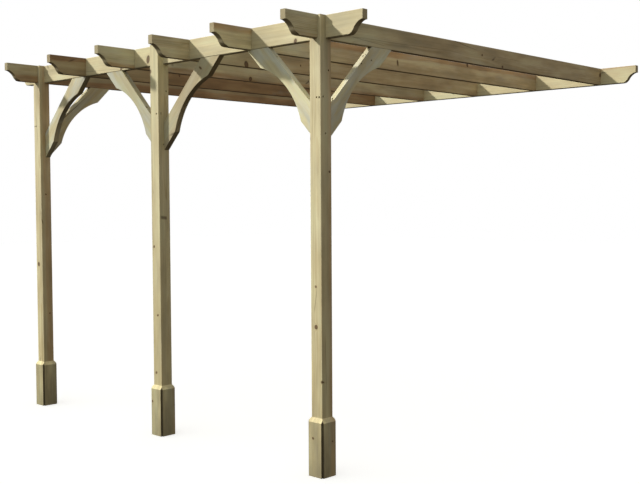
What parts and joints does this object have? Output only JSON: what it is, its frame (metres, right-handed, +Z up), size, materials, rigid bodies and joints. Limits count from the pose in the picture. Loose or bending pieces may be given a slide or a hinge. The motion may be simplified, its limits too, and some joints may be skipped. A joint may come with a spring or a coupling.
{
  "type": "lean-to wooden pergola",
  "caption": "Open lean-to garden frame of square posts on boarded feet, a front beam, a wall beam and lapped rafters with shaped ends and curved knee braces.",
  "frame": {"origin": "centre of the middle post's foot, on the ground", "axes": "+Z up, +X along the row of posts to the right seen from the front, +Y from the posts to the wall"},
  "size_m": [4.005, 4, 2.92],
  "materials": {
    "post_timber": "planed pressure-treated softwood, pale with a green tint",
    "foot_timber": "rough sawn pressure-treated softwood",
    "beam_timber": "planed pressure-treated softwood, pale with a green tint",
    "rafter_timber": "planed pressure-treated softwood with reddish heartwood streaks",
    "brace_timber": "planed pressure-treated softwood, green tinted",
    "screw_steel": "plated screw heads, dulled"
  },
  "bodies": {
    "root": {"left_post": "post_timber", "middle_post": "post_timber", "right_post": "post_timber", "left_foot_front": "foot_timber", "left_foot_right": "foot_timber", "left_foot_back": "foot_timber", "left_foot_left": "foot_timber", "middle_foot_front": "foot_timber", "middle_foot_right": "foot_timber", "middle_foot_back": "foot_timber", "middle_foot_left": "foot_timber", "right_foot_front": "foot_timber", "right_foot_right": "foot_timber", "right_foot_back": "foot_timber", "right_foot_left": "foot_timber", "front_beam": "beam_timber", "wall_beam": "beam_timber", "rafter_1": "rafter_timber", "rafter_2": "rafter_timber", "rafter_3": "rafter_timber", "rafter_4": "rafter_timber", "rafter_5": "rafter_timber", "rafter_6": "rafter_timber", "left_beam_brace": "brace_timber", "middle_left_brace": "brace_timber", "middle_right_brace": "brace_timber", "right_beam_brace": "brace_timber", "left_rafter_brace": "brace_timber", "right_rafter_brace": "brace_timber"}
  },
  "joints": []
}
